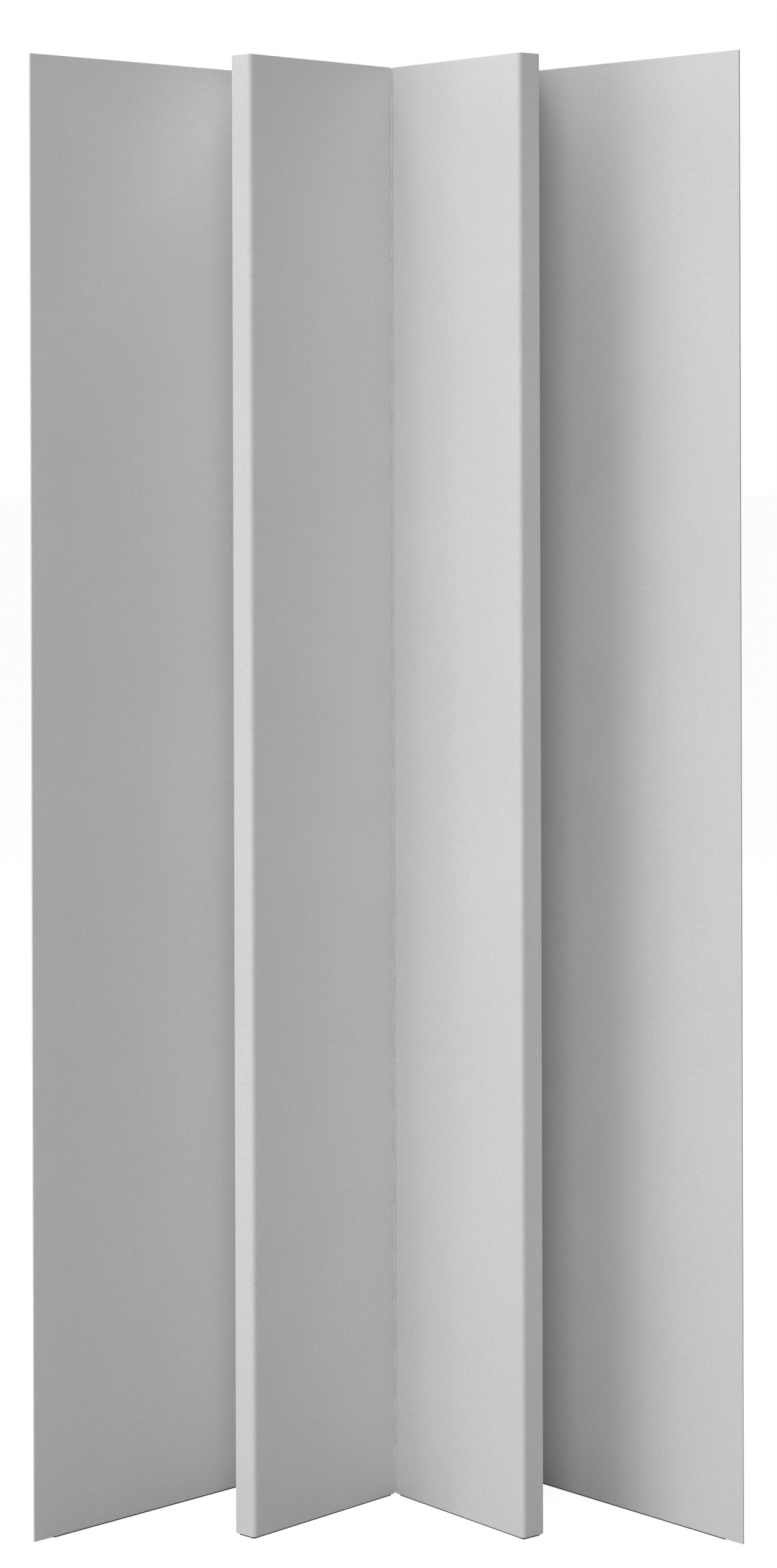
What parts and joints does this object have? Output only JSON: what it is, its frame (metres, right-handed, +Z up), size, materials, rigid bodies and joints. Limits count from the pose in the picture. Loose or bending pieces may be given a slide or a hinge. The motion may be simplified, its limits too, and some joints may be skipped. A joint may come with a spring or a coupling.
{
  "type": "folding room divider screen",
  "caption": "Free-standing folding screen of tall plain painted panels joined edge to edge by continuous hinges, so that it stands in a zigzag and folds flat.",
  "frame": {"origin": "on the floor, in the middle of the standing screen's box", "axes": "+Z up, the panels' height; +X to the right as seen from the front; +Y away from the viewer, so the front is at -Y"},
  "size_m": [0.8588, 0.2846, 1.8],
  "materials": {
    "panel_paint": "matt off-white water-based paint, rolled on fibreboard, edges filled and painted over",
    "frame_softwood": "planed softwood, painted the same matt off-white where an edge shows",
    "felt": "dark grey pressed wool felt",
    "hinge_paint": "steel continuous hinge, painted over in the panels' matt off-white",
    "hinge_pin": "drawn steel wire"
  },
  "bodies": {
    "outer_left": {"outer_left_front_skin": "panel_paint", "outer_left_back_skin": "panel_paint", "outer_left_valley_stile": "frame_softwood", "outer_left_free_stile": "frame_softwood", "outer_left_top_rail": "frame_softwood", "outer_left_bottom_rail": "frame_softwood", "outer_left_felt_strip": "felt", "front_hinge_left_outer_plate": "hinge_paint"},
    "link_left": {"link_left_inner_skin": "panel_paint", "link_left_outer_skin": "panel_paint", "link_left_rear_stile": "frame_softwood", "link_left_valley_stile": "frame_softwood", "link_left_top_rail": "frame_softwood", "link_left_bottom_rail": "frame_softwood", "link_left_felt_strip": "felt", "rear_hinge_left_link_plate": "hinge_paint", "front_hinge_left_link_plate": "hinge_paint", "front_hinge_left_pin": "hinge_pin"},
    "centre_left": {"centre_left_front_skin": "panel_paint", "centre_left_back_skin": "panel_paint", "centre_left_ridge_stile": "frame_softwood", "centre_left_valley_stile": "frame_softwood", "centre_left_top_rail": "frame_softwood", "centre_left_bottom_rail": "frame_softwood", "centre_left_felt_strip": "felt", "centre_hinge_left_plate": "hinge_paint", "centre_hinge_pin": "hinge_pin", "rear_hinge_left_centre_plate": "hinge_paint", "rear_hinge_left_pin": "hinge_pin"},
    "centre_right": {"centre_right_front_skin": "panel_paint", "centre_right_back_skin": "panel_paint", "centre_right_ridge_stile": "frame_softwood", "centre_right_valley_stile": "frame_softwood", "centre_right_top_rail": "frame_softwood", "centre_right_bottom_rail": "frame_softwood", "centre_right_felt_strip": "felt", "centre_hinge_right_plate": "hinge_paint", "rear_hinge_right_centre_plate": "hinge_paint", "rear_hinge_right_pin": "hinge_pin"},
    "link_right": {"link_right_inner_skin": "panel_paint", "link_right_outer_skin": "panel_paint", "link_right_rear_stile": "frame_softwood", "link_right_valley_stile": "frame_softwood", "link_right_top_rail": "frame_softwood", "link_right_bottom_rail": "frame_softwood", "link_right_felt_strip": "felt", "rear_hinge_right_link_plate": "hinge_paint", "front_hinge_right_link_plate": "hinge_paint", "front_hinge_right_pin": "hinge_pin"},
    "outer_right": {"outer_right_front_skin": "panel_paint", "outer_right_back_skin": "panel_paint", "outer_right_valley_stile": "frame_softwood", "outer_right_free_stile": "frame_softwood", "outer_right_top_rail": "frame_softwood", "outer_right_bottom_rail": "frame_softwood", "outer_right_felt_strip": "felt", "front_hinge_right_outer_plate": "hinge_paint"}
  },
  "joints": [
    {"name": "centre_fold", "type": "hinge", "parent": "centre_left", "child": "centre_right", "pos_m": [0, 0.06469, 0.9], "axis": [0, 0, 1], "range_deg": [-81.8, 98.2]},
    {"name": "rear_fold_left", "type": "hinge", "parent": "centre_left", "child": "link_left", "pos_m": [-0.15213, -0.05953, 0.9], "axis": [0, 0, 1], "range_deg": [-37.5, 52.5]},
    {"name": "rear_fold_right", "type": "hinge", "parent": "centre_right", "child": "link_right", "pos_m": [0.15213, -0.05953, 0.9], "axis": [0, 0, -1], "range_deg": [-37.5, 52.5]},
    {"name": "front_fold_left", "type": "hinge", "parent": "link_left", "child": "outer_left", "pos_m": [-0.1751, 0.12115, 0.9], "axis": [0, 0, -1], "range_deg": [-40.3, 139.7]},
    {"name": "front_fold_right", "type": "hinge", "parent": "link_right", "child": "outer_right", "pos_m": [0.1751, 0.12115, 0.9], "axis": [0, 0, 1], "range_deg": [-40.3, 139.7]}
  ]
}
